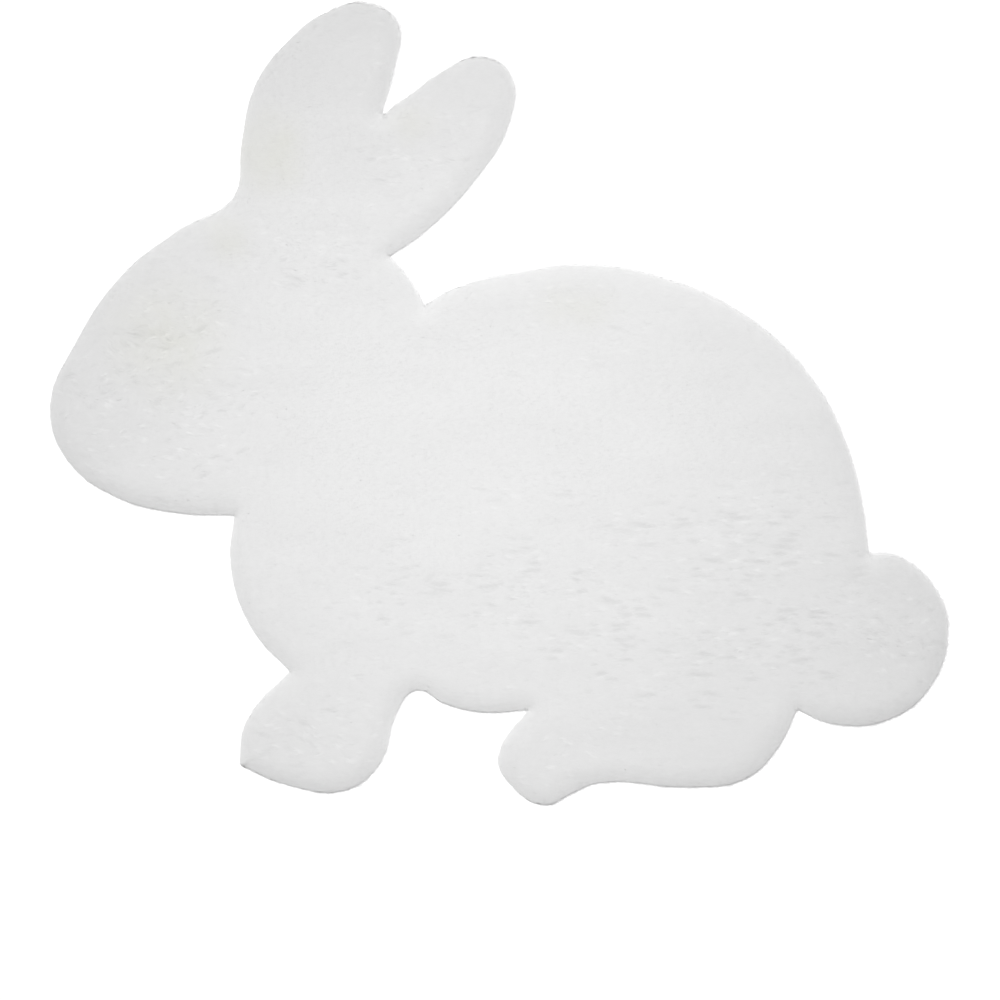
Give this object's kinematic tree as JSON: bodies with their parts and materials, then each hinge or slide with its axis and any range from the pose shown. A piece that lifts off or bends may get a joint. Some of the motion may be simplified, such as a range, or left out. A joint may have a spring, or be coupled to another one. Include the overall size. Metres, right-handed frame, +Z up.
{
  "type": "rabbit shaped kids rug",
  "caption": "Flat white plush fur rug cut in the outline of a sitting rabbit, for a child's floor.",
  "frame": {"origin": "on the floor, under the middle of the rug's length and width", "axes": "+X from nose to tail, along the rug's longest extent; +Y from the feet to the ears; +Z up through the pile, the shortest extent"},
  "size_m": [0.9, 0.804, 0.02],
  "materials": {
    "white_fur": "matt, soft, dense off-white plush pile with a faint silky nap"
  },
  "bodies": {
    "root": {"fur_rug": "white_fur"}
  },
  "joints": []
}
